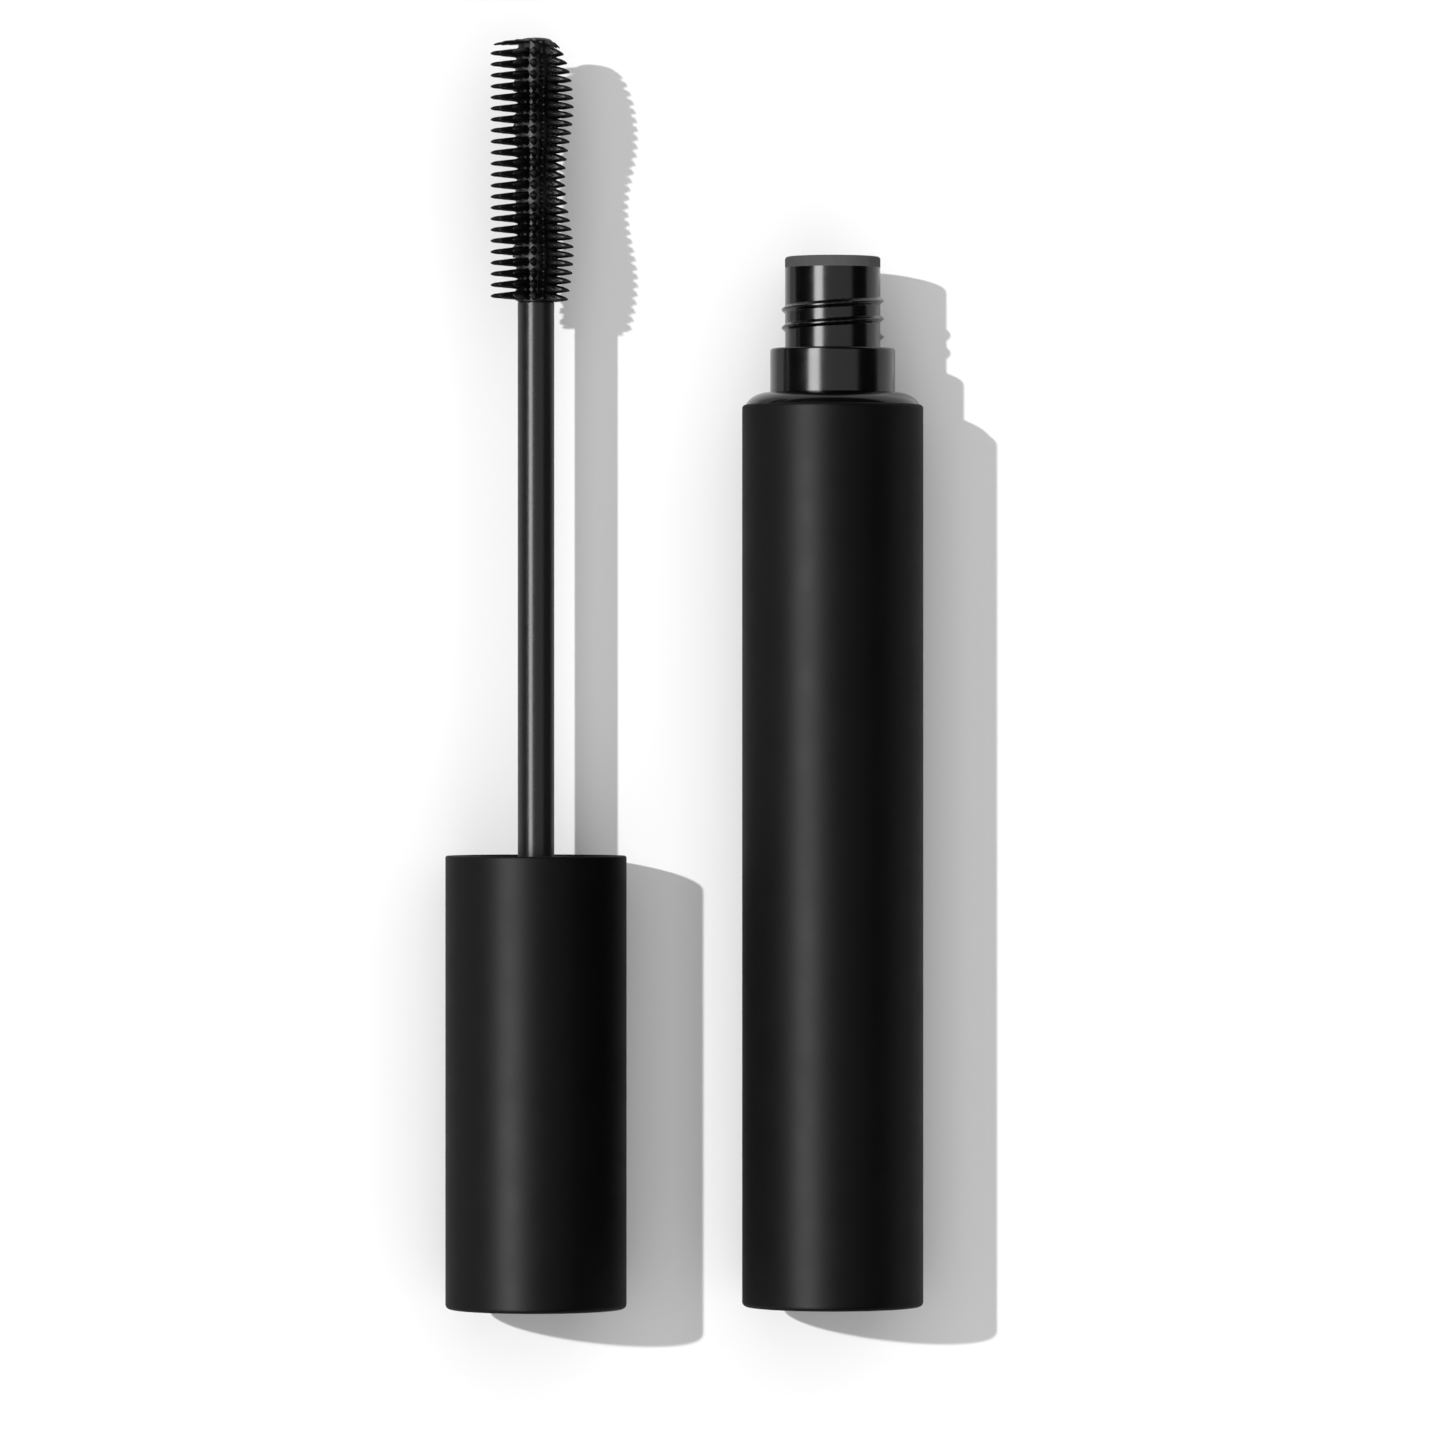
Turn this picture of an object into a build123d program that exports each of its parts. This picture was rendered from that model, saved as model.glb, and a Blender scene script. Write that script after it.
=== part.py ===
from build123d import *
import math
import os

# An opened mascara. The tube and its wand lie side by side, both pointing along +Y, on the plane Z = 0.
# Each piece is turned about its own +Z, with height 0 at the closed end, and is then laid down.
# TUBE_SHIFT is how much further along +Y the tube's closed end lies than the cap's.
# All lengths are in millimetres.

# Driving dimensions
CASE_RADIUS = 9.5
AXIS_SPACING = 31.1
SLEEVE_LENGTH = 94.5
CAP_LENGTH = 47.5
WAND_LENGTH = 133.2
ROD_RADIUS = 1.92
NECK_RADIUS = 5.0
THREAD_PITCH = 1.9
RUNNING_GAP = 0.05
TUBE_SHIFT = 0.25

# Outer sleeve
SLEEVE_BORE = 8.6
SLEEVE_FLOOR = 1.2
BASE_ROUNDING = 0.5
SLEEVE_TOP_ROUNDING = 0.4

# Inner bottle, as radii and heights above the tube's base
CHAMBER_RADIUS = 6.0
CHAMBER_FLOOR = 4.0
CHAMBER_TOP = 91.0
BOTTLE_RADIUS = 7.4
PLUG_RADIUS = SLEEVE_BORE - RUNNING_GAP
PLUG_HEIGHT = 4.5
SHOULDER_RADIUS = CASE_RADIUS - SLEEVE_TOP_ROUNDING
SHOULDER_RISE = 1.3
COLLAR_RADIUS = 6.55
COLLAR_TOP = 100.4
NECK_TOP = 108.95
NECK_BORE = 3.9
EDGE_ROUNDING = 0.15

# Thread ridge on the neck, and its partner inside the cap
THREAD_START = 101.6
NECK_TURNS = 2
CAP_TURNS = 1
RIDGE_HEIGHT = 0.36
RIDGE_ROOT = 0.68
RIDGE_CREST = 0.14
RIDGE_SINK = 0.12
CLOSED_LENGTH = 143.0

# Wiper
WIPER_FLANGE = 1.05
WIPER_MOUTH = 3.3
WIPER_ORIFICE = ROD_RADIUS + 0.1
WIPER_PLUG_END = 101.0
WIPER_LIP_END = 97.0
WIPER_LIP = 0.45

# Mascara formula
FORMULA_TOP = 62.0
FORMULA_FLOOR = 8.0
BRUSH_TRACK_RADIUS = 5.3

# Cap shell and inner cap, as radii and heights above the cap's closed end
CAP_BORE = 8.4
CAP_FLOOR = 1.2
RIM_ROUNDING = 0.25
SKIRT_END = 42.3
SKIRT_RADIUS = 6.7
SKIRT_BORE = 5.48
FLANGE_THICKNESS = 1.5
CEILING = 32.1
CEILING_THICKNESS = 1.2
SOCKET_RADIUS = 3.4
SOCKET_END = 21.0
SOCKET_FLANGE = 24.0
STOP_RADIUS = 1.2
STOP_THICKNESS = 1.0

# Cap gasket
GASKET_START = 35.0
GASKET_THICKNESS = 0.8
GASKET_RADIUS = 4.9
GASKET_BORE = 2.07

# Rod
ROD_END = 105.52
ROD_BORE = 0.8
SHANK_SOCKET_DEPTH = 5.0
SHANK_RADIUS = 1.2

# Brush
BRUSH_CORE_RADIUS = 1.7
BRUSH_BORE = 0.65
BRUSH_BORE_END = 131.2
COMB_REACH = 5.06
COMB_DIRECTION = math.radians(-127)
WAVE_REACH = 3.5
WAVE_DEPTH = 0.45
WAVE_LENGTH = 15.5
WAVE_CREST = 126.2
BRISTLE_PITCH = 1.158
BRISTLE_RINGS = 24
BRISTLES_PER_RING = 12
BRISTLE_THICKNESS = 0.5
TIP_TAPER_LENGTH = 4.0
TIP_TAPER = 0.8
PIN_RADIUS = 0.5
PIN_START = 107.5
PIN_END = 130.9

TUBE_X = AXIS_SPACING / 2
WAND_X = -AXIS_SPACING / 2
WAND_BASE_Y = -WAND_LENGTH / 2
TUBE_BASE_Y = WAND_BASE_Y + TUBE_SHIFT


def turned(*corners):
    """A solid turned about Z from the closed outline through (radius, height) corners."""
    outline = make_face(Plane.XZ * Polyline(*corners, close=True))
    return revolve(outline, Axis.Z)


def ring(outer, inner, bottom, top):
    """A plain ring between two radii and two heights."""
    return turned((inner, bottom), (outer, bottom), (outer, top), (inner, top))


def plain_rod(radius, bottom, top):
    """A solid cylinder between two heights."""
    return Pos(0, 0, bottom) * Cylinder(radius, top - bottom, align=(Align.CENTER, Align.CENTER, Align.MIN))


def rounded(solid, radius, height, rounding):
    """The solid with its circular edge of that radius, at that height, rounded over."""
    edges = []
    for edge in solid.edges().filter_by(GeomType.CIRCLE):
        if abs(edge.radius - radius) < 0.01 and abs(edge.arc_center.Z - height) < 0.01:
            edges.append(edge)
    return fillet(edges, rounding)


def thread_ridge(wall_radius, inward, start, start_angle, turns):
    """A right-hand ridge on a wall, or on the inside of one, sunk a little into it."""
    side = -1 if inward else 1
    root = wall_radius - side * RIDGE_SINK
    crest = wall_radius + side * RIDGE_HEIGHT
    half_root = RIDGE_ROOT / 2
    half_crest = RIDGE_CREST / 2
    corners = [(root, -half_root), (root, half_root), (crest, half_crest), (crest, -half_crest)]
    section = make_face(Plane.XZ * Polyline(*corners, close=True))
    path = Helix(pitch=THREAD_PITCH, height=THREAD_PITCH * turns, radius=wall_radius)
    ridge = sweep(section, path=path, is_frenet=True)
    return Pos(0, 0, start) * Rot(0, 0, start_angle) * ridge


def outer_sleeve():
    """Cup with a flat base, which hides the bottle up to its shoulder."""
    sleeve = turned(
        (0, 0),
        (CASE_RADIUS, 0),
        (CASE_RADIUS, SLEEVE_LENGTH),
        (SLEEVE_BORE, SLEEVE_LENGTH),
        (SLEEVE_BORE, SLEEVE_FLOOR),
        (0, SLEEVE_FLOOR),
    )
    sleeve = rounded(sleeve, CASE_RADIUS, 0, BASE_ROUNDING)
    return rounded(sleeve, CASE_RADIUS, SLEEVE_LENGTH, SLEEVE_TOP_ROUNDING)


def inner_bottle():
    """Chamber, plug that centres it in the sleeve, domed shoulder, collar and threaded neck."""
    body = plain_rod(BOTTLE_RADIUS, SLEEVE_FLOOR, CHAMBER_TOP)
    foot = plain_rod(PLUG_RADIUS, SLEEVE_FLOOR, CHAMBER_FLOOR)
    plug = plain_rod(PLUG_RADIUS, SLEEVE_LENGTH - PLUG_HEIGHT, SLEEVE_LENGTH)

    dome_width = SHOULDER_RADIUS - COLLAR_RADIUS
    dome_centre = (COLLAR_RADIUS, SLEEVE_LENGTH)
    dome_arc = EllipticalCenterArc(dome_centre, dome_width, SHOULDER_RISE, start_angle=0, arc_size=90)
    dome_top = SLEEVE_LENGTH + SHOULDER_RISE
    dome_sides = Polyline(
        (COLLAR_RADIUS, dome_top), (0, dome_top), (0, SLEEVE_LENGTH), (SHOULDER_RADIUS, SLEEVE_LENGTH)
    )
    shoulder = revolve(make_face(Plane.XZ * (dome_arc + dome_sides)), Axis.Z)

    collar = plain_rod(COLLAR_RADIUS, SLEEVE_LENGTH, COLLAR_TOP)
    collar = rounded(collar, COLLAR_RADIUS, COLLAR_TOP, EDGE_ROUNDING)
    neck = plain_rod(NECK_RADIUS, COLLAR_TOP - 1, NECK_TOP)
    chamber = turned(
        (0, CHAMBER_FLOOR),
        (CHAMBER_RADIUS, CHAMBER_FLOOR),
        (CHAMBER_RADIUS, CHAMBER_TOP),
        (NECK_BORE, SLEEVE_LENGTH + SHOULDER_RISE),
        (NECK_BORE, NECK_TOP + 1),
        (0, NECK_TOP + 1),
    )
    ridge = thread_ridge(NECK_RADIUS, False, THREAD_START, 0, NECK_TURNS)
    return body + foot + plug + shoulder + collar + neck + ridge - chamber


def wiper():
    """Elastomer insert: a flange on the neck's end, a plug in its bore and a lip that strips the rod."""
    flange_top = NECK_TOP + WIPER_FLANGE
    insert = turned(
        (WIPER_MOUTH, flange_top),
        (NECK_RADIUS, flange_top),
        (NECK_RADIUS, NECK_TOP),
        (NECK_BORE, NECK_TOP),
        (NECK_BORE, WIPER_PLUG_END),
        (WIPER_ORIFICE + WIPER_LIP, WIPER_LIP_END),
        (WIPER_ORIFICE, WIPER_LIP_END),
        (WIPER_MOUTH, WIPER_PLUG_END),
    )
    insert = rounded(insert, NECK_RADIUS, flange_top, EDGE_ROUNDING)
    return rounded(insert, WIPER_MOUTH, flange_top, 2 * EDGE_ROUNDING)


def mascara_formula():
    """Product left on the chamber's wall and floor, round the track that the brush leaves."""
    return turned(
        (0, CHAMBER_FLOOR),
        (CHAMBER_RADIUS, CHAMBER_FLOOR),
        (CHAMBER_RADIUS, FORMULA_TOP),
        (BRUSH_TRACK_RADIUS, FORMULA_TOP - 1),
        (BRUSH_TRACK_RADIUS, FORMULA_FLOOR),
        (0, FORMULA_FLOOR),
    )


def cap_shell():
    """Plain cup with a flat closed end and a softened rim."""
    shell = turned(
        (0, 0),
        (CASE_RADIUS, 0),
        (CASE_RADIUS, CAP_LENGTH),
        (CAP_BORE, CAP_LENGTH),
        (CAP_BORE, CAP_FLOOR),
        (0, CAP_FLOOR),
    )
    shell = rounded(shell, CASE_RADIUS, 0, BASE_ROUNDING)
    shell = rounded(shell, CASE_RADIUS, CAP_LENGTH, RIM_ROUNDING)
    return rounded(shell, CAP_BORE, CAP_LENGTH, RIM_ROUNDING)


def inner_cap():
    """Insert that fills the shell: threaded skirt, ceiling, rod socket and two flanges that hold it."""
    rod_hole = ROD_RADIUS + RUNNING_GAP
    skirt = ring(SKIRT_RADIUS, SKIRT_BORE, CEILING, SKIRT_END)
    mouth_flange = ring(CAP_BORE, SKIRT_BORE, SKIRT_END - FLANGE_THICKNESS, SKIRT_END)
    ceiling = ring(SKIRT_RADIUS, rod_hole, CEILING - CEILING_THICKNESS, CEILING)
    socket = ring(SOCKET_RADIUS, rod_hole, SOCKET_END, CEILING)
    stop = ring(SOCKET_RADIUS, STOP_RADIUS, SOCKET_END, SOCKET_END + STOP_THICKNESS)
    socket_flange = ring(CAP_BORE, SOCKET_RADIUS, SOCKET_FLANGE, SOCKET_FLANGE + FLANGE_THICKNESS)
    insert = rounded(skirt + mouth_flange, SKIRT_BORE, SKIRT_END, 2 * EDGE_ROUNDING)

    # With the cap closed, this ridge lies midway between the turns of the neck's ridge.
    in_mesh = CLOSED_LENGTH - THREAD_START - THREAD_PITCH / 2
    start = in_mesh - 1.5 * THREAD_PITCH
    ridge = thread_ridge(SKIRT_BORE, True, start, 180, CAP_TURNS)
    return insert + ceiling + socket + stop + socket_flange + ridge


def cap_gasket():
    """Loose ring on the rod, squeezed between the wiper's flange and the ceiling when closed."""
    gasket = ring(GASKET_RADIUS, GASKET_BORE, GASKET_START, GASKET_START + GASKET_THICKNESS)
    return rounded(gasket, GASKET_RADIUS, GASKET_START + GASKET_THICKNESS, EDGE_ROUNDING)


def rod():
    """Hollow stem, from the stop in the inner cap to the brush, with a wider socket for the shank."""
    rod_start = SOCKET_END + STOP_THICKNESS
    socket_start = ROD_END - SHANK_SOCKET_DEPTH
    socket_radius = SHANK_RADIUS + RUNNING_GAP
    stem = plain_rod(ROD_RADIUS, rod_start, ROD_END)
    bore = plain_rod(ROD_BORE, rod_start, ROD_END)
    return stem - bore - plain_rod(socket_radius, socket_start, ROD_END)


def bristle_reach(angle, height):
    """How far a bristle reaches: straight and long towards the comb side, in waves on the rest."""
    phase = 2 * math.pi * (height - WAVE_CREST) / WAVE_LENGTH
    wave = WAVE_REACH + WAVE_DEPTH * math.cos(phase)
    near_tip = max(0, height - WAND_LENGTH + TIP_TAPER_LENGTH) / TIP_TAPER_LENGTH
    wave -= TIP_TAPER * near_tip**2
    comb_share = math.sqrt(max(0, math.cos(angle - COMB_DIRECTION)))
    return wave + (COMB_REACH - wave) * comb_share


def bristle_ring(height):
    """One ring of bristles: a star whose points are the bristles."""
    half_step = math.pi / BRISTLES_PER_RING
    corners = []
    for i in range(BRISTLES_PER_RING):
        angle = 2 * half_step * i
        reach = bristle_reach(angle, height)
        root = BRUSH_CORE_RADIUS - 0.1
        corners.append((reach * math.cos(angle), reach * math.sin(angle)))
        corners.append((root * math.cos(angle + half_step), root * math.sin(angle + half_step)))
    star = make_face(Polyline(*corners, close=True))
    return Pos(0, 0, height - BRISTLE_THICKNESS / 2) * extrude(star, BRISTLE_THICKNESS)


def brush():
    """Soft moulded brush: hollow core with a domed tip, a shank for the rod and rings of bristles."""
    core = plain_rod(BRUSH_CORE_RADIUS, ROD_END, WAND_LENGTH)
    core = rounded(core, BRUSH_CORE_RADIUS, WAND_LENGTH, 0.8 * BRUSH_CORE_RADIUS)
    shank = plain_rod(SHANK_RADIUS, ROD_END - SHANK_SOCKET_DEPTH + RUNNING_GAP, ROD_END + 1)
    rings = []
    for i in range(BRISTLE_RINGS):
        rings.append(bristle_ring(ROD_END + BRISTLE_THICKNESS + BRISTLE_PITCH * i))
    return core + shank + rings - plain_rod(BRUSH_BORE, ROD_END - SHANK_SOCKET_DEPTH, BRUSH_BORE_END)


def brush_core_pin():
    """Stiff pin in the brush's hollow core."""
    return plain_rod(PIN_RADIUS, PIN_START, PIN_END)


def laid(piece, x, base_y):
    """The piece lying down: its +Z turned to +Y, its axis at that x and its base at that y."""
    return Pos(x, base_y, CASE_RADIUS) * Rot(-90, 0, 0) * piece


TUBE_PIECES = {
    "outer_sleeve": outer_sleeve,
    "inner_bottle": inner_bottle,
    "wiper": wiper,
    "mascara_formula": mascara_formula,
}
WAND_PIECES = {
    "cap_shell": cap_shell,
    "inner_cap": inner_cap,
    "cap_gasket": cap_gasket,
    "rod": rod,
    "brush": brush,
    "brush_core_pin": brush_core_pin,
}

os.makedirs("parts", exist_ok=True)
for name, make in TUBE_PIECES.items():
    export_step(laid(make(), TUBE_X, TUBE_BASE_Y), f"parts/{name}.step")
for name, make in WAND_PIECES.items():
    export_step(laid(make(), WAND_X, WAND_BASE_Y), f"parts/{name}.step")
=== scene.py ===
import math
from collections import namedtuple

import bmesh
import bpy
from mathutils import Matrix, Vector


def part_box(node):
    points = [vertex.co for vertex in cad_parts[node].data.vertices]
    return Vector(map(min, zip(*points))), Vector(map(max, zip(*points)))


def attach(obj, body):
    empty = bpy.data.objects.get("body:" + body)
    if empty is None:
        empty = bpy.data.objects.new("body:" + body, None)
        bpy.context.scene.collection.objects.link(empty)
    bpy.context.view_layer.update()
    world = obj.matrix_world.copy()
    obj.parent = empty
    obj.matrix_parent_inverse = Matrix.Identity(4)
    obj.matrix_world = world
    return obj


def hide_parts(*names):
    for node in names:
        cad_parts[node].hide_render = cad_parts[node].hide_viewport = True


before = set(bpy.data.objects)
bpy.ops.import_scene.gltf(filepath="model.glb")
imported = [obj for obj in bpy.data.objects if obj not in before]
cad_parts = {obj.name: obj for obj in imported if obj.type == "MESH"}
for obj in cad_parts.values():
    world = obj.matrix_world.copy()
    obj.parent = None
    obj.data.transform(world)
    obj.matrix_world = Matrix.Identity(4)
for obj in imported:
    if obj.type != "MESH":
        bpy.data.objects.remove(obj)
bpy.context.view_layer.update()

# Every piece but the bristles is drawn as an outline of (radius, height) corners about its axis, in metres.
# Heights are measured from the closed end of the tube or of the cap, and the axis lies along +Y.
MM = 0.001
SLEEVE_LOW, SLEEVE_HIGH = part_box("outer_sleeve")
CAP_LOW, CAP_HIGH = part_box("cap_shell")
BRUSH_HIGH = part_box("brush")[1]
CASE_RADIUS = (SLEEVE_HIGH.z - SLEEVE_LOW.z) / 2
AXIS_Z = (SLEEVE_HIGH.z + SLEEVE_LOW.z) / 2
TUBE_X = (SLEEVE_HIGH.x + SLEEVE_LOW.x) / 2
WAND_X = (CAP_HIGH.x + CAP_LOW.x) / 2
TUBE_BASE = SLEEVE_LOW.y
WAND_BASE = CAP_LOW.y
SLEEVE_LENGTH = SLEEVE_HIGH.y - SLEEVE_LOW.y
CAP_LENGTH = CAP_HIGH.y - CAP_LOW.y
WAND_LENGTH = BRUSH_HIGH.y - WAND_BASE

# Fineness of the shapes. SUPPORT is how far beside each rounding an extra ring keeps the flat wall flat.
ROUND_STEPS = 160
ARC_STEPS = 6
DOME_STEPS = 12
CORE_STEPS = 60
TIP_STEPS = 8
THREAD_ROW = 0.05 * MM
SUPPORT = 0.03 * MM
WALL_TOLERANCE = 0.01 * MM
SHARP_ANGLE = math.radians(35)

# Tube
SLEEVE_BORE = 8.6 * MM
SLEEVE_FLOOR = 1.2 * MM
BASE_ROUNDING = 0.5 * MM
SLEEVE_TOP_ROUNDING = 0.4 * MM
PLUG_RADIUS = 8.55 * MM
PLUG_HEIGHT = 4.5 * MM
BOTTLE_RADIUS = 7.4 * MM
SHOULDER_RISE = 1.3 * MM
DOME_START = math.radians(16)
COLLAR_RADIUS = 6.55 * MM
COLLAR_TOP = 100.4 * MM
NECK_RADIUS = 5.0 * MM
NECK_TOP = 108.86 * MM
NECK_BORE = 3.9 * MM
CHAMBER_RADIUS = 6.0 * MM
CHAMBER_FLOOR = 4.0 * MM
CHAMBER_TOP = 91.0 * MM
EDGE_ROUNDING = 0.15 * MM

# Thread. RIDGE_CREST is the flat share of the ridge's half width, and RUN_OUT is the turn over which the
# ridge sinks into its wall beyond each end.
THREAD_PITCH = 1.9 * MM
THREAD_START = 101.6 * MM
THREAD_TURNS = 2
CAP_THREAD_START = 37.6 * MM
CAP_THREAD_TURNS = 1
RIDGE_HEIGHT = 0.36 * MM
RIDGE_HALF_WIDTH = 0.38 * MM
RIDGE_CREST = 0.2
RUN_OUT = math.radians(12)

# Wiper
WIPER_FLANGE = 1.14 * MM
WIPER_TOP = NECK_TOP + WIPER_FLANGE
WIPER_MOUTH = 3.3 * MM
WIPER_ORIFICE = 2.02 * MM
WIPER_LIP = 0.45 * MM
WIPER_PLUG_END = 101.0 * MM
WIPER_LIP_END = 97.0 * MM

# Cap and its insert
CAP_BORE = 8.4 * MM
CAP_FLOOR = 1.2 * MM
RIM_ROUNDING = 0.25 * MM
SKIRT_END = 42.3 * MM
SKIRT_RADIUS = 6.7 * MM
SKIRT_BORE = 5.48 * MM
FLANGE = 1.5 * MM
CEILING = 32.1 * MM
CEILING_THICKNESS = 1.2 * MM
SOCKET_RADIUS = 3.4 * MM
SOCKET_END = 21.0 * MM
SOCKET_FLANGE = 24.0 * MM
ROD_HOLE = 1.97 * MM

# Rod, and the brush's shank, pin bore and core. SEAT_GAP keeps the brush off the rod's end.
ROD_RADIUS = 1.92 * MM
ROD_BORE = 0.8 * MM
ROD_START = 22.0 * MM
ROD_END = 105.52 * MM
SEAT_GAP = 0.02 * MM
SHANK_RADIUS = 1.2 * MM
SHANK_START = 100.57 * MM
SHANK_SOCKET_RADIUS = 1.25 * MM
SHANK_SOCKET_START = 100.52 * MM
PIN_BORE = 0.65 * MM
PIN_BORE_END = 131.2 * MM
CORE_RADIUS = 1.98 * MM
CORE_SWELL = 0.2 * MM
CORE_SWELL_LENGTH = 6.6 * MM
CORE_SWELL_TOP = 129.98 * MM
TIP_ROUNDING = 0.6 * MM

# Rows of bristles. Reaches are measured from the brush's axis to the bristles' ends. The rows of the
# straight comb side come first, from one row below the left upwards. The other rows are the wavy side: its
# waves have their crest at WAVE_CREST, and its fullest rows point in the direction WAVE_MIDDLE.
BRUSH_ROWS = 17
FIRST_COMB_ROW = -1
COMB_REACHES = (3.3 * MM, 3.9 * MM, 5.06 * MM, 5.06 * MM, 5.06 * MM, 5.06 * MM)
COMB_LEVELS = 24
COMB_START = 106.19 * MM
COMB_PITCH = 1.154 * MM
COMB_TOP_SHARE = 0.93
WAVE_LEVELS = 30
WAVE_START = 105.95 * MM
WAVE_PITCH = 0.917 * MM
WAVE_REACH = 3.12 * MM
WAVE_DEPTH = 0.4 * MM
WAVE_LENGTH = 15.5 * MM
WAVE_CREST = 126.2 * MM
WAVE_LOBE = 0.15
WAVE_MIDDLE = math.radians(-30)
WAVE_TAPER = 0.8 * MM
WAVE_TAPER_LENGTH = 4 * MM
SHORTEST_REACH = 2.35 * MM
DROOP = 0.13 * MM
TOP_DROOP = 0.42 * MM

# Bristles: half sizes (along the brush, across it) at the root and near the tip, the radius of the
# rounded nose, and how much the root flares along the brush. The root and point shares say where along
# those two stretches a bristle has its rings.
Bristle = namedtuple("Bristle", "root tip nose flare")
COMB_BRISTLE = Bristle((0.5 * MM, 0.36 * MM), (0.2 * MM, 0.16 * MM), 0.08 * MM, 0.16 * MM)
WAVE_BRISTLE = Bristle((0.53 * MM, 0.33 * MM), (0.16 * MM, 0.17 * MM), 0.11 * MM, 0.1 * MM)
TOP_BRISTLE = Bristle((0.24 * MM, 0.24 * MM), (0.13 * MM, 0.13 * MM), 0.08 * MM, 0)
BRISTLE_SIDES = 10
FLARE_LENGTH = 0.7 * MM
POINT_LENGTH = 0.58 * MM
LONGEST_POINT_SHARE = 0.7
ROOT_SHARES = (0, 0.2, 0.4, 0.6, 0.8)
POINT_SHARES = (1, 0.75, 0.55, 0.4, 0.25, 0.14, 0.07, 0.02)

# Most values of a noise texture lie between these two.
NOISE_LOW = 0.3
NOISE_HIGH = 0.7


# ---------------------------------------------------------------- shapes

def rounded_corner(before, corner, after, rounding):
    """Points of the arc that rounds one corner of an outline."""
    here = Vector(corner)
    to_before = (Vector(before) - here).normalized()
    to_after = (Vector(after) - here).normalized()
    half = to_before.angle(to_after) / 2
    centre = here + (to_before + to_after).normalized() * rounding / math.sin(half)
    first = here + to_before * rounding / math.tan(half) - centre
    last = here + to_after * rounding / math.tan(half) - centre
    turn = first.angle_signed(last)
    points = []
    for i in range(ARC_STEPS + 1):
        angle = -turn * i / ARC_STEPS
        c, s = math.cos(angle), math.sin(angle)
        points.append(centre + Vector((first.x * c - first.y * s, first.x * s + first.y * c)))
    return points


def outline(corners):
    """A closed outline from (radius, height) or (radius, height, rounding) corners."""
    points = []
    count = len(corners)
    for i, corner in enumerate(corners):
        before = corners[i - 1][:2]
        after = corners[(i + 1) % count][:2]
        if len(corner) == 3:
            arc = rounded_corner(before, corner[:2], after, corner[2])
            toward = (Vector(before) - arc[0]).normalized()
            away = (Vector(after) - arc[-1]).normalized()
            points += [arc[0] + toward * SUPPORT] + arc + [arc[-1] + away * SUPPORT]
        else:
            points.append(Vector(corner))
    return points


def thread_wall(radius, start, end):
    """Closely spaced corners along a wall, for a thread to be raised on."""
    count = round(abs(end - start) / THREAD_ROW)
    return [(radius, start + (end - start) * i / count) for i in range(count + 1)]


def turned(name, points, axis_x, base_y, relief=None):
    """A closed solid turned about its axis, raised where relief(radius, height, angle) says so."""
    bm = bmesh.new()
    rings = []
    for radius, height in points:
        if radius == 0:
            rings.append([bm.verts.new((axis_x, base_y + height, AXIS_Z))])
            continue
        ring = []
        for i in range(ROUND_STEPS):
            angle = 2 * math.pi * i / ROUND_STEPS
            reach = relief(radius, height, angle) if relief else radius
            x = axis_x + reach * math.cos(angle)
            z = AXIS_Z - reach * math.sin(angle)
            ring.append(bm.verts.new((x, base_y + height, z)))
        rings.append(ring)
    for near, far in zip(rings, rings[1:] + rings[:1]):
        if len(near) == 1 and len(far) == 1:
            continue
        for i in range(ROUND_STEPS):
            j = (i + 1) % ROUND_STEPS
            corners = [near[i % len(near)], near[j % len(near)], far[j % len(far)], far[i % len(far)]]
            bm.faces.new(dict.fromkeys(corners))
    return finished(name, bm)


def finished(name, bm):
    """The piece as a smooth-shaded object with its faces turned outwards."""
    bmesh.ops.recalc_face_normals(bm, faces=bm.faces)
    mesh = bpy.data.meshes.new(name)
    bm.to_mesh(mesh)
    bm.free()
    mesh.shade_smooth()
    mesh.set_sharp_from_angle(angle=SHARP_ANGLE)
    piece = bpy.data.objects.new(name, mesh)
    bpy.context.scene.collection.objects.link(piece)
    return piece


def ridge_height(height, angle, start, turns):
    """How far a right-hand thread stands out of its wall at this height and angle."""
    best = 0
    for turn in range(-1, turns + 1):
        along = angle + 2 * math.pi * turn
        centre = start + THREAD_PITCH * along / (2 * math.pi)
        across = abs(height - centre) / RIDGE_HALF_WIDTH
        if across >= 1:
            continue
        into = min(along, 2 * math.pi * turns - along) / RUN_OUT
        ramp = max(0, min(1, 1 + into))
        profile = min(1, (1 - across) / (1 - RIDGE_CREST))
        best = max(best, RIDGE_HEIGHT * ramp * profile)
    return best


# ---------------------------------------------------------------- pieces

def sleeve():
    """Cup with a flat base, round the bottle."""
    points = outline([
        (0, 0),
        (CASE_RADIUS, 0, BASE_ROUNDING),
        (CASE_RADIUS, SLEEVE_LENGTH, SLEEVE_TOP_ROUNDING),
        (SLEEVE_BORE, SLEEVE_LENGTH),
        (SLEEVE_BORE, SLEEVE_FLOOR),
        (0, SLEEVE_FLOOR),
    ])
    return turned("tube_sleeve", points, TUBE_X, TUBE_BASE)


def shoulder_dome():
    """Corners of the domed shoulder, which rises at a slant from the sleeve's edge to the collar."""
    width = CASE_RADIUS - SLEEVE_TOP_ROUNDING - COLLAR_RADIUS
    corners = []
    for i in range(DOME_STEPS + 1):
        angle = DOME_START + (math.pi / 2 - DOME_START) * i / DOME_STEPS
        out = math.cos(angle) / math.cos(DOME_START)
        up = (math.sin(angle) - math.sin(DOME_START)) / (1 - math.sin(DOME_START))
        corners.append((COLLAR_RADIUS + width * out, SLEEVE_LENGTH + SHOULDER_RISE * up))
    return corners


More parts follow.
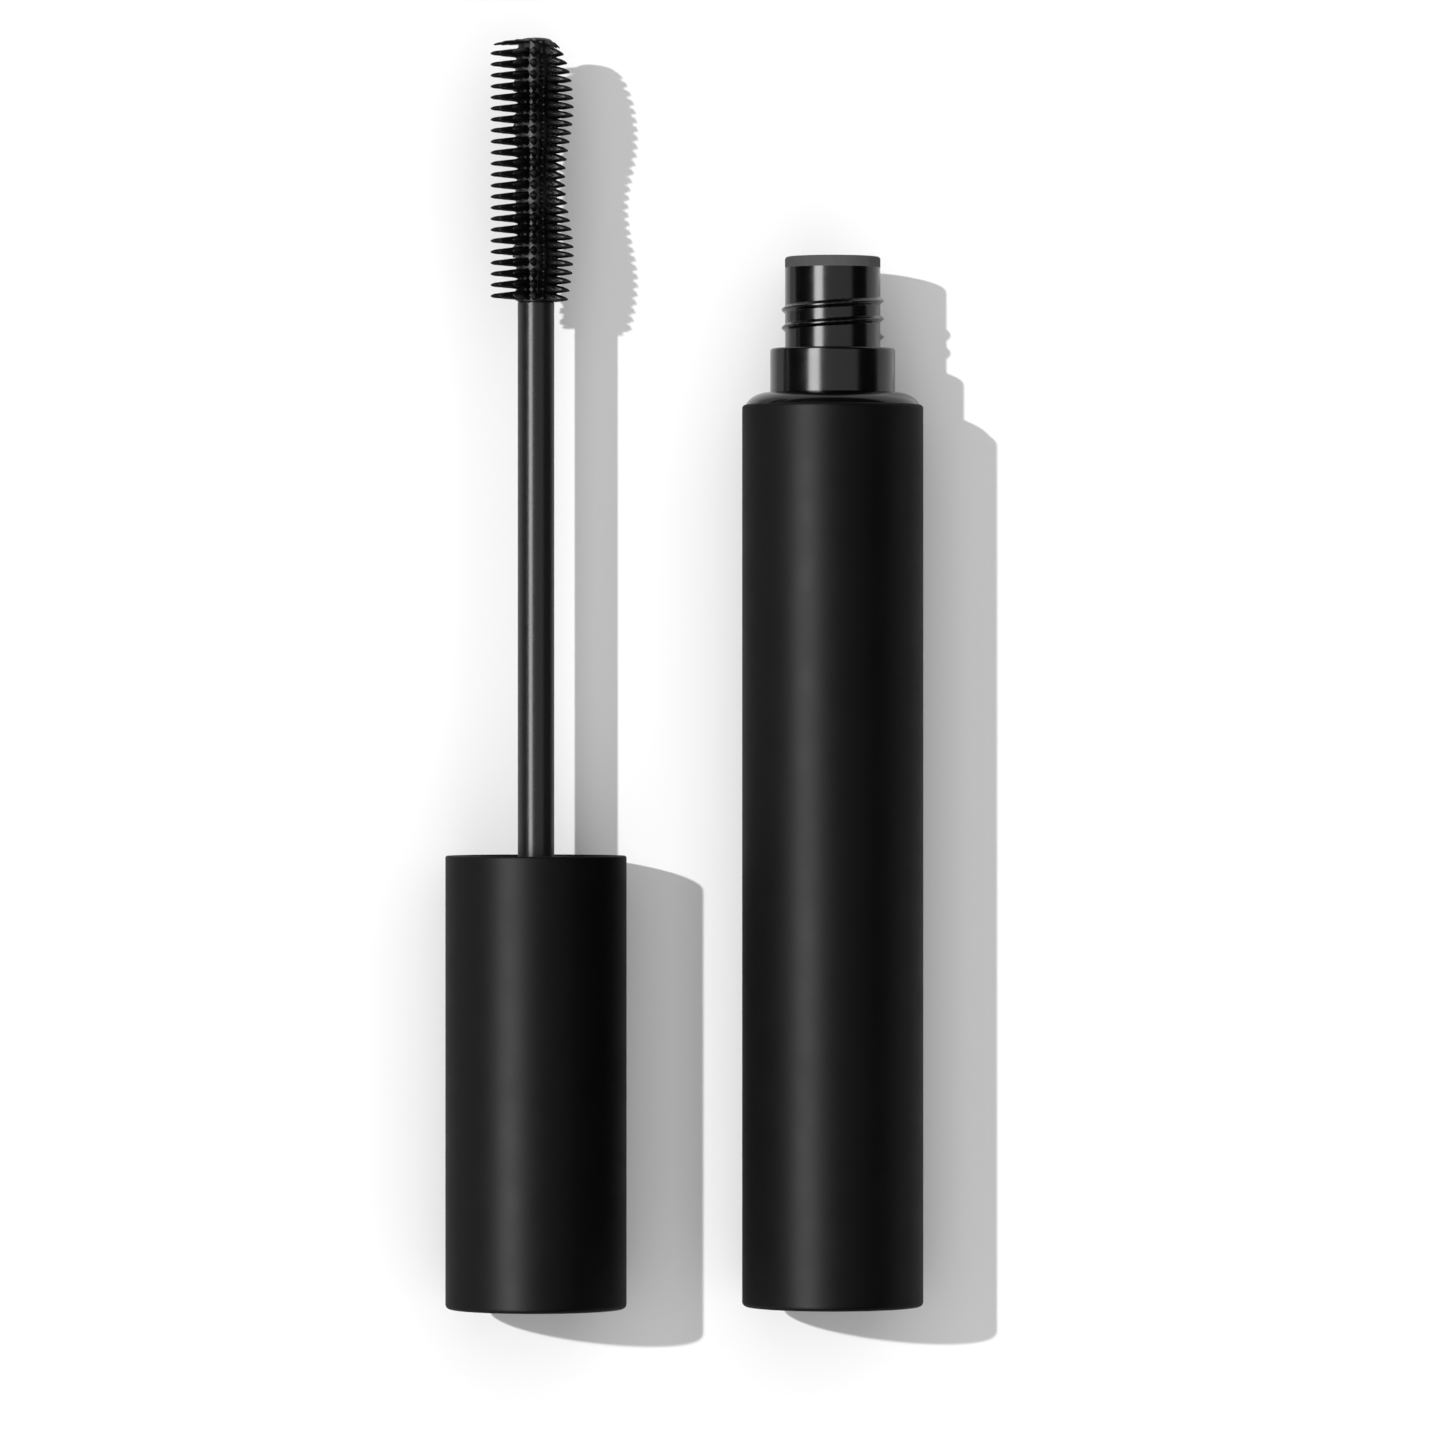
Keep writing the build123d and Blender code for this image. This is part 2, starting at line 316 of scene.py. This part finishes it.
def bottle():
    """Foot and plug that fit the sleeve, domed shoulder, collar, threaded neck, and the chamber inside."""
    thread_low = THREAD_START - THREAD_PITCH / 2
    thread_high = THREAD_START + THREAD_PITCH * (THREAD_TURNS + 0.5)
    points = outline(
        [
            (0, SLEEVE_FLOOR),
            (PLUG_RADIUS, SLEEVE_FLOOR),
            (PLUG_RADIUS, CHAMBER_FLOOR),
            (BOTTLE_RADIUS, CHAMBER_FLOOR),
            (BOTTLE_RADIUS, SLEEVE_LENGTH - PLUG_HEIGHT),
            (PLUG_RADIUS, SLEEVE_LENGTH - PLUG_HEIGHT),
            (PLUG_RADIUS, SLEEVE_LENGTH),
        ]
        + shoulder_dome()
        + [
            (COLLAR_RADIUS, COLLAR_TOP, 2 * EDGE_ROUNDING),
            (NECK_RADIUS, COLLAR_TOP),
        ]
        + thread_wall(NECK_RADIUS, thread_low, thread_high)
        + [
            (NECK_RADIUS, NECK_TOP),
            (NECK_BORE, NECK_TOP),
            (NECK_BORE, SLEEVE_LENGTH + SHOULDER_RISE),
            (CHAMBER_RADIUS, CHAMBER_TOP),
            (CHAMBER_RADIUS, CHAMBER_FLOOR),
            (0, CHAMBER_FLOOR),
        ]
    )

    def relief(radius, height, angle):
        if abs(radius - NECK_RADIUS) > WALL_TOLERANCE or not thread_low <= height <= thread_high:
            return radius
        return radius + ridge_height(height, angle, THREAD_START, THREAD_TURNS)

    return turned("tube_bottle", points, TUBE_X, TUBE_BASE, relief)


def wiper():
    """Flange on the neck's end, plug in its bore, and a lip that strips the rod."""
    points = outline([
        (WIPER_MOUTH, WIPER_TOP, 2 * EDGE_ROUNDING),
        (NECK_RADIUS, WIPER_TOP, 2 * EDGE_ROUNDING),
        (NECK_RADIUS, NECK_TOP),
        (NECK_BORE, NECK_TOP),
        (NECK_BORE, WIPER_PLUG_END, EDGE_ROUNDING),
        (WIPER_ORIFICE + WIPER_LIP, WIPER_LIP_END),
        (WIPER_ORIFICE, WIPER_LIP_END),
        (WIPER_MOUTH, WIPER_PLUG_END, EDGE_ROUNDING),
    ])
    return turned("tube_wiper", points, TUBE_X, TUBE_BASE)


def cap():
    """Cup with a flat closed end and a softened rim."""
    points = outline([
        (0, 0),
        (CASE_RADIUS, 0, BASE_ROUNDING),
        (CASE_RADIUS, CAP_LENGTH, RIM_ROUNDING),
        (CAP_BORE, CAP_LENGTH, RIM_ROUNDING),
        (CAP_BORE, CAP_FLOOR),
        (0, CAP_FLOOR),
    ])
    return turned("wand_cap", points, WAND_X, WAND_BASE)


def cap_insert():
    """Threaded skirt, ceiling and rod socket, with two flanges that hold them in the cap."""
    thread_low = CAP_THREAD_START - THREAD_PITCH / 2
    thread_high = CAP_THREAD_START + THREAD_PITCH * (CAP_THREAD_TURNS + 0.5)
    points = outline(
        [
            (ROD_HOLE, CEILING),
            (SKIRT_BORE, CEILING),
        ]
        + thread_wall(SKIRT_BORE, thread_low, thread_high)
        + [
            (SKIRT_BORE, SKIRT_END, 2 * EDGE_ROUNDING),
            (CAP_BORE, SKIRT_END),
            (CAP_BORE, SKIRT_END - FLANGE),
            (SKIRT_RADIUS, SKIRT_END - FLANGE),
            (SKIRT_RADIUS, CEILING - CEILING_THICKNESS),
            (SOCKET_RADIUS, CEILING - CEILING_THICKNESS),
            (SOCKET_RADIUS, SOCKET_FLANGE + FLANGE),
            (CAP_BORE, SOCKET_FLANGE + FLANGE),
            (CAP_BORE, SOCKET_FLANGE),
            (SOCKET_RADIUS, SOCKET_FLANGE),
            (SOCKET_RADIUS, SOCKET_END),
            (ROD_HOLE, SOCKET_END),
        ]
    )

    # The ridge starts half a turn on, and in the closed cap it lies midway between the neck's turns.
    def relief(radius, height, angle):
        if abs(radius - SKIRT_BORE) > WALL_TOLERANCE or not thread_low <= height <= thread_high:
            return radius
        half_turn_on = (angle + math.pi) % (2 * math.pi)
        return radius - ridge_height(height, half_turn_on, CAP_THREAD_START, CAP_THREAD_TURNS)

    return turned("wand_cap_insert", points, WAND_X, WAND_BASE, relief)


def rod():
    """Hollow stem with a wider socket in its end for the brush's shank."""
    points = outline([
        (ROD_BORE, ROD_START),
        (ROD_RADIUS, ROD_START),
        (ROD_RADIUS, ROD_END, EDGE_ROUNDING),
        (SHANK_SOCKET_RADIUS, ROD_END),
        (SHANK_SOCKET_RADIUS, SHANK_SOCKET_START),
        (ROD_BORE, SHANK_SOCKET_START),
    ])
    return turned("wand_rod", points, WAND_X, WAND_BASE)


def core_radius(height):
    """The core swells and narrows a little along its length."""
    phase = 2 * math.pi * (height - CORE_SWELL_TOP) / CORE_SWELL_LENGTH
    return CORE_RADIUS + CORE_SWELL * math.cos(phase)


def brush_core():
    """Core of the brush: a shank for the rod, a gently wavy stem with a pin bore, and a low dome."""
    corners = [
        (0, PIN_BORE_END),
        (PIN_BORE, PIN_BORE_END),
        (PIN_BORE, SHANK_START),
        (SHANK_RADIUS, SHANK_START),
        (SHANK_RADIUS, ROD_END + SEAT_GAP),
        (ROD_RADIUS, ROD_END + SEAT_GAP),
    ]
    low = ROD_END + EDGE_ROUNDING
    high = WAND_LENGTH - TIP_ROUNDING
    for i in range(CORE_STEPS + 1):
        height = low + (high - low) * i / CORE_STEPS
        corners.append((core_radius(height), height))
    tip_radius = core_radius(high)
    for i in range(1, TIP_STEPS):
        angle = math.pi / 2 * i / TIP_STEPS
        corners.append((tip_radius * math.sqrt(math.cos(angle)), high + TIP_ROUNDING * math.sin(angle)))
    corners.append((0, WAND_LENGTH))
    return turned("wand_brush_core", outline(corners), WAND_X, WAND_BASE)


def row_angle(row):
    """Direction of a row of bristles. Row 0 points left, and the rows go round over the top."""
    return math.pi - 2 * math.pi * row / BRUSH_ROWS


def wave_reach(row, height):
    """Reach of the wavy side: an hourglass, drawn in at the tip, and fullest in its middle rows."""
    phase = 2 * math.pi * (height - WAVE_CREST) / WAVE_LENGTH
    reach = WAVE_REACH + WAVE_DEPTH * math.cos(phase)
    near_tip = max(0, height - WAND_LENGTH + WAVE_TAPER_LENGTH) / WAVE_TAPER_LENGTH
    fullness = 1 + WAVE_LOBE * math.cos(row_angle(row) - WAVE_MIDDLE)
    return max(SHORTEST_REACH, fullness * (reach - WAVE_TAPER * near_tip**2))


def bristle_half(out, length, root, tip, nose):
    """Half size of a bristle at a distance out from the core: it tapers to a point with a rounded nose."""
    from_end = length - out
    point = 1 - max(0, 1 - from_end / POINT_LENGTH) ** 2
    rounding = math.sqrt(1 - max(0, 1 - from_end / nose) ** 2)
    shank = root + (tip - root) * out / length
    return nose * rounding + (shank - nose) * point


def add_bristle(bm, angle, height, reach, droop, kind):
    """One bristle, from inside the core out to its reach, drooping a little and kept off the rod's end."""
    outward = Vector((math.cos(angle), 0, math.sin(angle)))
    across = Vector((-math.sin(angle), 0, math.cos(angle)))
    along = Vector((0, 1, 0))
    start = Vector((WAND_X, WAND_BASE + height, AXIS_Z)) + outward * (CORE_RADIUS - CORE_SWELL)
    lowest = WAND_BASE + ROD_END + SEAT_GAP
    length = reach - CORE_RADIUS + CORE_SWELL
    point = min(POINT_LENGTH, LONGEST_POINT_SHARE * length)
    base = min(FLARE_LENGTH, length - point)
    stations = [base * share for share in ROOT_SHARES]
    stations += [length - point * share for share in POINT_SHARES]
    rings = []
    for station in stations:
        flare = kind.flare * max(0, 1 - station / FLARE_LENGTH) ** 2
        high = bristle_half(station, length, kind.root[0], kind.tip[0], kind.nose) + flare
        wide = bristle_half(station, length, kind.root[1], kind.tip[1], kind.nose)
        centre = start + outward * station - along * droop * (station / length) ** 2
        ring = []
        for i in range(BRISTLE_SIDES):
            turn = 2 * math.pi * i / BRISTLE_SIDES
            corner = centre + across * wide * math.cos(turn) + along * high * math.sin(turn)
            corner.y = max(corner.y, lowest)
            ring.append(bm.verts.new(corner))
        rings.append(ring)
    end = bm.verts.new(start + outward * length - along * droop)
    for near, far in zip(rings, rings[1:]):
        for i in range(BRISTLE_SIDES):
            j = (i + 1) % BRISTLE_SIDES
            bm.faces.new((near[i], near[j], far[j], far[i]))
    for i in range(BRISTLE_SIDES):
        bm.faces.new((rings[-1][i], rings[-1][(i + 1) % BRISTLE_SIDES], end))
    bm.faces.new(reversed(rings[0]))


def top_droop(angle):
    """Droop of the topmost ring, which bends down at its left and right like a leaf."""
    return TOP_DROOP * math.cos(angle) ** 2


def comb_bristles():
    """The straight side: rows of bristles level with each other, of one length but for the lowest rows."""
    bm = bmesh.new()
    for i, reach in enumerate(COMB_REACHES):
        angle = row_angle(FIRST_COMB_ROW + i)
        for level in range(COMB_LEVELS - 1):
            add_bristle(bm, angle, COMB_START + COMB_PITCH * level, reach, DROOP, COMB_BRISTLE)
        top = COMB_START + COMB_PITCH * (COMB_LEVELS - 1)
        # A shorter bristle follows the same bend less far.
        droop = top_droop(angle) * (reach / max(COMB_REACHES)) ** 2
        add_bristle(bm, angle, top, COMB_TOP_SHARE * reach, droop, TOP_BRISTLE)
    return finished("wand_comb_bristles", bm)


def wave_bristles():
    """The wavy side, on all the other rows: finer and closer bristles."""
    bm = bmesh.new()
    first = FIRST_COMB_ROW + len(COMB_REACHES)
    for row in range(first, FIRST_COMB_ROW + BRUSH_ROWS):
        angle = row_angle(row)
        for level in range(WAVE_LEVELS - 1):
            height = WAVE_START + WAVE_PITCH * level
            add_bristle(bm, angle, height, wave_reach(row, height), DROOP, WAVE_BRISTLE)
        top = WAVE_START + WAVE_PITCH * (WAVE_LEVELS - 1)
        add_bristle(bm, angle, top, wave_reach(row, top), top_droop(angle), TOP_BRISTLE)
    return finished("wand_wave_bristles", bm)


# ---------------------------------------------------------------- materials

def plain_material(name, colour, roughness, specular):
    """A plastic with its constant values set on the shader."""
    material = bpy.data.materials.new(name)
    material.use_nodes = True
    shader = material.node_tree.nodes["Principled BSDF"]
    shader.inputs["Base Color"].default_value = (*colour, 1)
    shader.inputs["Roughness"].default_value = roughness
    shader.inputs["Specular IOR Level"].default_value = specular
    return material


def noise(material, scale, detail):
    """A noise texture fixed to the piece, with its features 1/scale metres across."""
    nodes = material.node_tree.nodes
    place = nodes.new("ShaderNodeTexCoord")
    texture = nodes.new("ShaderNodeTexNoise")
    texture.inputs["Scale"].default_value = scale
    texture.inputs["Detail"].default_value = detail
    material.node_tree.links.new(place.outputs["Object"], texture.inputs["Vector"])
    return texture


def vary_roughness(material, scale, low, high):
    """Lets the roughness drift between two values over the surface."""
    tree = material.node_tree
    texture = noise(material, scale, detail=3)
    drift = tree.nodes.new("ShaderNodeMapRange")
    drift.inputs["From Min"].default_value = NOISE_LOW
    drift.inputs["From Max"].default_value = NOISE_HIGH
    drift.inputs["To Min"].default_value = low
    drift.inputs["To Max"].default_value = high
    tree.links.new(texture.outputs["Fac"], drift.inputs["Value"])
    tree.links.new(drift.outputs["Result"], tree.nodes["Principled BSDF"].inputs["Roughness"])


def vary_colour(material, scale, low, high):
    """Lets the colour drift between two values over the surface."""
    tree = material.node_tree
    texture = noise(material, scale, detail=4)
    ramp = tree.nodes.new("ShaderNodeValToRGB")
    ramp.color_ramp.elements[0].position = NOISE_LOW
    ramp.color_ramp.elements[0].color = (*low, 1)
    ramp.color_ramp.elements[1].position = NOISE_HIGH
    ramp.color_ramp.elements[1].color = (*high, 1)
    tree.links.new(texture.outputs["Fac"], ramp.inputs["Fac"])
    tree.links.new(ramp.outputs["Color"], tree.nodes["Principled BSDF"].inputs["Base Color"])


def add_grain(material, scale, depth):
    """Gives the surface a fine grain of that depth in metres."""
    tree = material.node_tree
    texture = noise(material, scale, detail=2)
    bump = tree.nodes.new("ShaderNodeBump")
    bump.inputs["Strength"].default_value = 1
    bump.inputs["Distance"].default_value = depth
    tree.links.new(texture.outputs["Fac"], bump.inputs["Height"])
    tree.links.new(bump.outputs["Normal"], tree.nodes["Principled BSDF"].inputs["Normal"])


def roughen_edges(material, amount):
    """Makes a finish rougher where it is seen at a low angle. It must already have a varied roughness."""
    turned_away_start = 0.08
    turned_away_full = 0.45
    tree = material.node_tree
    shader = tree.nodes["Principled BSDF"]
    facing = tree.nodes.new("ShaderNodeLayerWeight")
    facing.inputs["Blend"].default_value = 0.5
    extra = tree.nodes.new("ShaderNodeMapRange")
    extra.inputs["From Min"].default_value = turned_away_start
    extra.inputs["From Max"].default_value = turned_away_full
    extra.inputs["To Max"].default_value = amount
    total = tree.nodes.new("ShaderNodeMath")
    total.operation = "ADD"
    tree.links.new(facing.outputs["Facing"], extra.inputs["Value"])
    tree.links.new(extra.outputs["Result"], total.inputs[0])
    tree.links.new(shader.inputs["Roughness"].links[0].from_socket, total.inputs[1])
    tree.links.new(total.outputs["Value"], shader.inputs["Roughness"])


def matte_case():
    """Soft black lacquer of the sleeve and the cap."""
    material = plain_material("matte_case", colour=(0.0008, 0.0008, 0.0008), roughness=0.45, specular=0.1)
    vary_colour(material, scale=90, low=(0.0006, 0.0006, 0.0007), high=(0.001, 0.001, 0.0011))
    vary_roughness(material, scale=260, low=0.42, high=0.47)
    roughen_edges(material, amount=0.2)
    add_grain(material, scale=9000, depth=0.002 * MM)
    return material


def gloss_moulding():
    """Polished black plastic of the bottle and the cap's insert."""
    material = plain_material("gloss_moulding", colour=(0.001, 0.001, 0.001), roughness=0.18, specular=0.34)
    vary_roughness(material, scale=500, low=0.17, high=0.21)
    return material


def gloss_rod():
    """Black plastic of the rod, a little duller."""
    material = plain_material("gloss_rod", colour=(0.008, 0.008, 0.008), roughness=0.26, specular=0.26)
    vary_roughness(material, scale=700, low=0.24, high=0.28)
    roughen_edges(material, amount=0.12)
    return material


def wiper_elastomer():
    """Dark grey rubber of the wiper."""
    material = plain_material("wiper_elastomer", colour=(0.077, 0.077, 0.078), roughness=0.9, specular=0.02)
    vary_colour(material, scale=700, low=(0.071, 0.071, 0.072), high=(0.083, 0.083, 0.084))
    add_grain(material, scale=7000, depth=0.004 * MM)
    return material


def brush_elastomer():
    """Black rubber of the brush's core and bristles."""
    black = (0.0015, 0.0015, 0.0015)
    material = plain_material("brush_elastomer", colour=black, roughness=0.42, specular=0.3)
    vary_roughness(material, scale=1500, low=0.38, high=0.46)
    return material


def formula_cream():
    """Glossy black cream."""
    material = plain_material("formula_cream", colour=(0.003, 0.0025, 0.0025), roughness=0.2, specular=0.5)
    add_grain(material, scale=600, depth=0.08 * MM)
    return material


def gasket_foam():
    """Pale foam of the sealing ring."""
    material = plain_material("gasket_foam", colour=(0.3, 0.3, 0.29), roughness=0.8, specular=0.3)
    add_grain(material, scale=4000, depth=0.02 * MM)
    return material


def core_plastic():
    """Stiff dark plastic of the pin in the brush."""
    material = plain_material("core_plastic", colour=(0.02, 0.02, 0.02), roughness=0.4, specular=0.4)
    vary_roughness(material, scale=900, low=0.35, high=0.5)
    return material


# ---------------------------------------------------------------- room

def floor():
    """A wide white floor under the object."""
    half_width = 4
    bm = bmesh.new()
    bmesh.ops.create_grid(bm, x_segments=1, y_segments=1, size=half_width)
    ground = finished("floor", bm)
    white = plain_material("floor_white", colour=(0.85, 0.85, 0.85), roughness=0.9, specular=0.0)
    ground.data.materials.append(white)


def softbox(name, tilt, distance, width, length, radiance):
    """A long panel over the object, tilted to one side by that many degrees, facing its middle."""
    light = bpy.data.lights.new(name, "AREA")
    light.shape = "RECTANGLE"
    light.size = width
    light.size_y = length
    light.energy = radiance * math.pi * width * length
    panel = bpy.data.objects.new(name, light)
    angle = math.radians(tilt)
    panel.location = (distance * math.sin(angle), 0, distance * math.cos(angle))
    panel.rotation_euler = (0, angle, 0)
    panel.visible_camera = False
    bpy.context.scene.collection.objects.link(panel)
    return panel


def sun(direction, strength, softness):
    """The key light, as wide as that many degrees. It casts the shadows and shows in no reflection."""
    light = bpy.data.lights.new("key_light", "SUN")
    light.energy = strength
    light.angle = math.radians(softness)
    lamp = bpy.data.objects.new("key_light", light)
    lamp.rotation_mode = "QUATERNION"
    lamp.rotation_quaternion = Vector(direction).to_track_quat("-Z", "Y")
    lamp.visible_glossy = False
    bpy.context.scene.collection.objects.link(lamp)


def studio():
    """A sun for the shadows, a panel for soft fill, and a card and a strip that only reflections show."""
    sun(direction=(0.652, -0.25, -1), strength=2.42, softness=1.2)
    fill = softbox("overhead_panel", tilt=12, distance=1.5, width=2.1, length=4, radiance=1.0)
    fill.visible_glossy = False
    card = softbox("overhead_card", tilt=12, distance=1.4, width=1.96, length=0.6, radiance=1.0)
    card.visible_diffuse = False
    strip = softbox("side_strip", tilt=-34, distance=0.9, width=0.33, length=1.6, radiance=20)
    strip.visible_diffuse = False


def surroundings():
    """White to the camera beyond the floor, a faint fill for surfaces, and nearly dark in reflections."""
    reflected = 0.03
    diffuse_extra = 0.12
    world = bpy.data.worlds.new("surroundings")
    world.use_nodes = True
    bpy.context.scene.world = world
    tree = world.node_tree
    path = tree.nodes.new("ShaderNodeLightPath")
    fill = tree.nodes.new("ShaderNodeMath")
    fill.operation = "MULTIPLY_ADD"
    fill.inputs[1].default_value = diffuse_extra
    fill.inputs[2].default_value = reflected
    level = tree.nodes.new("ShaderNodeMath")
    level.operation = "ADD"
    tree.links.new(path.outputs["Is Diffuse Ray"], fill.inputs[0])
    tree.links.new(path.outputs["Is Camera Ray"], level.inputs[0])
    tree.links.new(fill.outputs["Value"], level.inputs[1])
    tree.links.new(level.outputs["Value"], tree.nodes["Background"].inputs["Strength"])
    tree.nodes["Background"].inputs["Color"].default_value = (1, 1, 1, 1)


def camera():
    """Straight above, far enough back for little perspective, with the object left of centre."""
    distance = 1.0
    view_width = 0.15145
    middle_x = 0.004
    middle_y = -0.00515
    data = bpy.data.cameras.new("camera")
    data.sensor_width = 36
    data.lens = data.sensor_width * distance / view_width
    watcher = bpy.data.objects.new("camera", data)
    watcher.location = (middle_x, middle_y, AXIS_Z + distance)
    bpy.context.scene.collection.objects.link(watcher)
    bpy.context.scene.camera = watcher


# ---------------------------------------------------------------- assembly

def place(piece, body, node, slot, material):
    """The piece moves with its body, stands for its node and takes its finish."""
    piece.data.materials.append(material)
    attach(piece, body)
    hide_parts(node)


def refinish(node, material):
    """Gives a node of the model a better finish."""
    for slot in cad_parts[node].material_slots:
        slot.material = material


case = matte_case()
gloss = gloss_moulding()
elastomer = brush_elastomer()
place(sleeve(), "tube", "outer_sleeve", "matte_case", case)
place(bottle(), "tube", "inner_bottle", "gloss_moulding", gloss)
place(wiper(), "tube", "wiper", "wiper_elastomer", wiper_elastomer())
place(cap(), "cap", "cap_shell", "matte_case", case)
place(cap_insert(), "cap", "inner_cap", "gloss_moulding", gloss)
place(rod(), "stem", "rod", "gloss_rod", gloss_rod())
place(brush_core(), "cap", "brush", "brush_elastomer", elastomer)
place(comb_bristles(), "cap", "brush", "brush_elastomer", elastomer)
place(wave_bristles(), "cap", "brush", "brush_elastomer", elastomer)
refinish("mascara_formula", formula_cream())
refinish("cap_gasket", gasket_foam())
refinish("brush_core_pin", core_plastic())

floor()
studio()
surroundings()
camera()
bpy.context.scene.view_settings.view_transform = "Standard"
